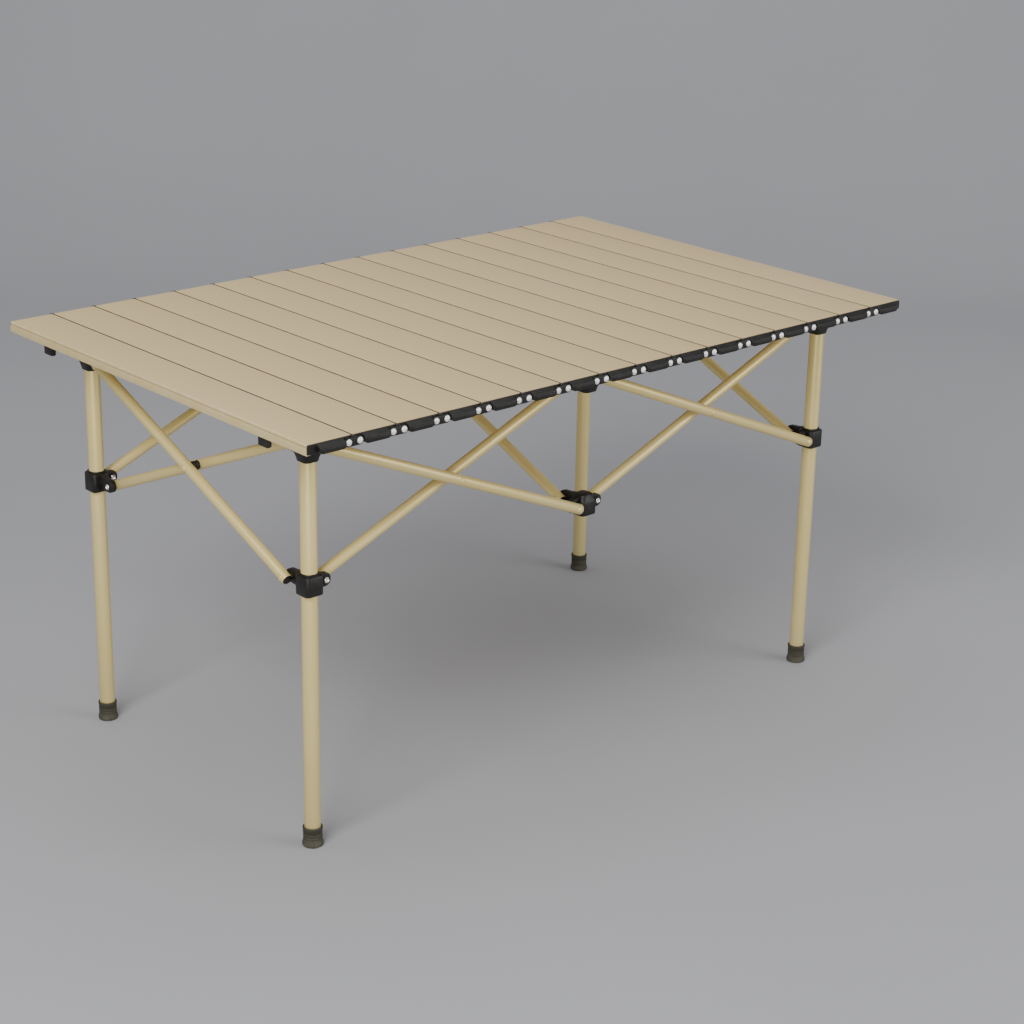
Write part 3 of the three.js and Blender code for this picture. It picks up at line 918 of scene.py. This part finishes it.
def bar(name, start, end):
    """A bar between two pivots: its tube, and a plug in each end."""
    start, end = np.asarray(start, float), np.asarray(end, float)
    axes = bar_axes(start, end)
    length = np.linalg.norm(end - start)
    shell = tube(BAR_RADIUS, BAR_WALL, -BAR_TAIL, length + BAR_TAIL, axes, start, 36, 0.0006)
    made = piece(name + "_tube", [shell], TUBE, name + "_body", 50)
    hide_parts(name)
    nose = np.concatenate([[(0.002, -0.012), (0.0062, -0.012), (0.0062, 0.0), (0.0068, 0.0001)],
                           arc((0.0045, 0.0001), 0.0023, 10, 90, 5) * [1, 0.6],
                           [(0.002, 0.0015)]])
    ends = []
    for middle, direction in ((start - axes[2] * BAR_TAIL, -1), (end + axes[2] * BAR_TAIL, 1)):
        turned_axes = np.array([axes[0], axes[1] * direction, axes[2] * direction])
        ends.append(turned(nose, turned_axes, middle, 32))
    piece(name + "_plugs", ends, NYLON, name + "_body", 50)


def crossing(name, at, across, body):
    """The rivet and the spacer where two bars cross."""
    ring = rolled_ring(at, across, -DOME_LEVEL, CROSSING_SHANK)
    piece(name + "_dome", [dome(at, across, DOME_LEVEL)], TUBE, body, 50)
    piece(name + "_rivet", [ring], STEEL, body, 50)
    half = SPACER_HALF
    profile = [(0.0024, -half), (0.0058, -half), (0.0064, -half + 0.0006),
               (0.0064, -0.0012), (0.0058, -0.0006), (0.0058, 0.0006), (0.0064, 0.0012),
               (0.0064, half - 0.0006), (0.0058, half), (0.0024, half)]
    spacer = turned(profile, across_axes(across, 1), at, 32, loop=True)
    piece(name + "_spacer", [spacer], NYLON, body)


run = LEGS["front_right"][0] - 2 * REACH["x"]
MIDDLE_Z = (PIVOT_TOP + PIVOT_LOW) / 2
for row in ("front", "back"):
    y = LEGS[row + "_left"][1]
    for hand, centre in (("left", LEGS["front_left"][0] / 2), ("right", LEGS["front_right"][0] / 2)):
        x0, x1 = centre - run / 2, centre + run / 2
        name = f"{row}_{hand}"
        bar(name + "_falling_bar", (x0, y - BAR_PLANE, PIVOT_TOP), (x1, y - BAR_PLANE, PIVOT_LOW))
        bar(name + "_rising_bar", (x0, y + BAR_PLANE, PIVOT_LOW), (x1, y + BAR_PLANE, PIVOT_TOP))
        crossing(name + "_crossing", (centre, y, MIDDLE_Z), (0, -1, 0), name + "_falling_bar_body")
for place, x in (("left", LEGS["front_left"][0]), ("middle", 0.0), ("right", LEGS["front_right"][0])):
    y0, y1 = -run / 2, run / 2
    name = place + "_cross"
    bar(name + "_falling_bar", (x + BAR_PLANE, y0, PIVOT_TOP), (x + BAR_PLANE, y1, PIVOT_LOW))
    bar(name + "_rising_bar", (x - BAR_PLANE, y0, PIVOT_LOW), (x - BAR_PLANE, y1, PIVOT_TOP))
    crossing(name + "ing", (x, 0, MIDDLE_Z), (-1, 0, 0), name + "_falling_bar_body")
print("bars 14, run", round(float(run), 4))

# %% [markdown]
# ## The clips
#
# Under each end slat two black clips drop over the ends of the frame, so that the
# top holds the legs apart. Each is one bent outline with small corner arcs, carried
# across the clip's width.

# %% Clips
CLIP_HALF = 0.009
CLIP_GAP = 0.0003


def clip_shell(x_out, inward, y, reach):
    """The clip's outline from its outer hook inwards, as (distance in, depth, corner
    radius), carried along Y. `inward` is +1 on the left end and -1 on the right."""
    rows = np.array([
        (0, 0.0, 0.0008), (0, 0.013, 0.002), (0.008, 0.013, 0.002), (0.008, 0.003, 0.0012),
        (0.025, 0.003, 0.0012), (0.025, 0.009, 0.0016), (0.032, 0.009, 0.0016),
        (0.032, 0.003, 0.0012), (reach, 0.003, 0.0008), (reach, 0.0, 0.0008),
    ])
    corners = np.stack([x_out + inward * rows[:, 0], SLAT_UNDER - CLIP_GAP - rows[:, 1]], 1)
    radii = rows[:, 2]
    if inward < 0:
        corners, radii = corners[::-1], radii[::-1]
    shape = rounded(corners, radii, 4)
    return slab(shape, y - CLIP_HALF, y + CLIP_HALF, 0.0007, AXES["y"])


for key, (x, y) in LEGS.items():
    node = key + "_slat_clip"
    low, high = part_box(node)
    inward = 1 if x < 0 else -1
    x_out = low[0] if x < 0 else high[0]
    body = "slat_01_body" if x < 0 else "slat_16_body"
    made = piece(node + "_moulding", [clip_shell(x_out, inward, y, high[0] - low[0])], NYLON,
                 body)
    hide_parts(node)
print("clips made")

# %% [markdown]
# ## Floor and backdrop
#
# The table stands on a plain pale floor that curves up into a backdrop, so that no
# horizon line shows. It is one sheet: straight, then a quarter circle, then straight
# up, worked out as rows of points across the view.

# %% Floor
FLAT_STEPS, BEND_STEPS, WIDTH_STEPS = 12, 24, 9


def sweep_floor(reach_front, reach_back, bend, height, half_width, facing):
    """A sheet whose section runs flat, turns up through a quarter circle and climbs."""
    flat = np.linspace(-reach_front, reach_back, FLAT_STEPS)
    a = np.linspace(0, math.pi / 2, BEND_STEPS)[1:]
    curve_out = reach_back + bend * np.sin(a)
    curve_up = bend * (1 - np.cos(a))
    out = np.concatenate([flat, curve_out, [reach_back + bend]])
    up = np.concatenate([np.zeros(FLAT_STEPS), curve_up, [height]])
    across = np.linspace(-half_width, half_width, WIDTH_STEPS)
    forward, sideways = np.array([*facing, 0]), np.array([facing[1], -facing[0], 0])
    grid = out[:, None, None] * forward + across[None, :, None] * sideways
    grid = grid + up[:, None, None] * np.array([0, 0, 1.0])
    m, n = grid.shape[:2]
    i, j = np.meshgrid(np.arange(m - 1), np.arange(n - 1), indexing="ij")
    start = (i * n + j).ravel()
    faces = np.stack([start, start + n, start + n + 1, start + 1], 1)
    return grid.reshape(-1, 3), faces.tolist()


def floor_finish():
    f = Finish("studio_paper", metallic=0.0, roughness=0.9, Specular_IOR_Level=0.1)
    soft = f.noise(1.6, detail=4.0)
    fibre = f.noise(380.0, detail=3.0)
    grey = f.blend(soft, rgb(160, 160, 163), rgb(167, 167, 170))
    f.set("Base Color", f.blend(fibre * 0.2, grey, rgb(172, 172, 174)))
    f.bump(fibre, 0.0001)
    return f.material


VIEW_TURN = math.radians(-41.82)
VIEW_DROP = math.radians(20.235)
VIEW_ROLL = math.radians(1.10)
CAMERA_PLACE = (-2.0898, -2.4393, 1.4734)
CAMERA_LENS = 80.415
WORLD_STRENGTH = 0.66
facing = np.array([-math.sin(VIEW_TURN), math.cos(VIEW_TURN)])
floor_points, floor_faces = sweep_floor(6.0, 2.2, 1.6, 6.0, 8.0, facing)
floor_mesh = bpy.data.meshes.new("floor")
floor_mesh.from_pydata(floor_points.tolist(), [], floor_faces)
floor_mesh.shade_smooth()
floor_mesh.materials.append(floor_finish())
floor = bpy.data.objects.new("floor", floor_mesh)
bpy.context.scene.collection.objects.link(floor)

# %% [markdown]
# ## Camera and light
#
# The camera stands about three metres off, a little above the table and to its left,
# with a long lens, and it is turned a degree about its own axis. Light comes from a
# large soft panel high on the camera's left, a second on the right and a low third
# that reach under the top, a faint one overhead, and an even grey world.

# %% Camera
camera_data = bpy.data.cameras.new("camera")
camera_data.sensor_fit = "HORIZONTAL"
camera_data.sensor_width = 36.0
camera_data.lens = CAMERA_LENS
camera = bpy.data.objects.new("camera", camera_data)
bpy.context.scene.collection.objects.link(camera)
gaze = Vector((facing[0] * math.cos(VIEW_DROP), facing[1] * math.cos(VIEW_DROP), -math.sin(VIEW_DROP)))
level = gaze.cross(Vector((0, 0, 1))).normalized()
upright = level.cross(gaze)
right = math.cos(VIEW_ROLL) * level + math.sin(VIEW_ROLL) * upright
above = -math.sin(VIEW_ROLL) * level + math.cos(VIEW_ROLL) * upright
turn = Matrix((right, above, -gaze)).transposed().to_4x4()
camera.matrix_world = Matrix.Translation(CAMERA_PLACE) @ turn
bpy.context.scene.camera = camera


# %% Lights
def panel(name, place, aim, size, watts, colour=(1, 1, 1)):
    """A square area light at `place` that points at `aim`."""
    data = bpy.data.lights.new(name, "AREA")
    data.shape, data.size, data.energy, data.color = "SQUARE", size, watts, colour
    lamp = bpy.data.objects.new(name, data)
    bpy.context.scene.collection.objects.link(lamp)
    direction = Vector(aim) - Vector(place)
    turn = direction.to_track_quat("-Z", "Y").to_matrix().to_4x4()
    lamp.matrix_world = Matrix.Translation(place) @ turn


panel("key_panel", (-3.2, -1.6, 3.2), (0, 0, 0.4), 2.0, 150)
panel("fill_panel", (2.2, -3.4, 1.6), (0, 0, 0.3), 2.4, 75)
panel("low_panel", (-3.0, -3.2, 1.0), (0, 0, 0.3), 1.8, 45)
panel("top_panel", (0.4, 0.6, 4.0), (0, 0, 0.5), 3.0, 30)
world = bpy.data.worlds.new("studio")
world.use_nodes = True
background = world.node_tree.nodes["Background"].inputs
background["Color"].default_value = (0.72, 0.73, 0.76, 1)
background["Strength"].default_value = WORLD_STRENGTH
bpy.context.scene.world = world
print("camera lens", camera_data.lens)
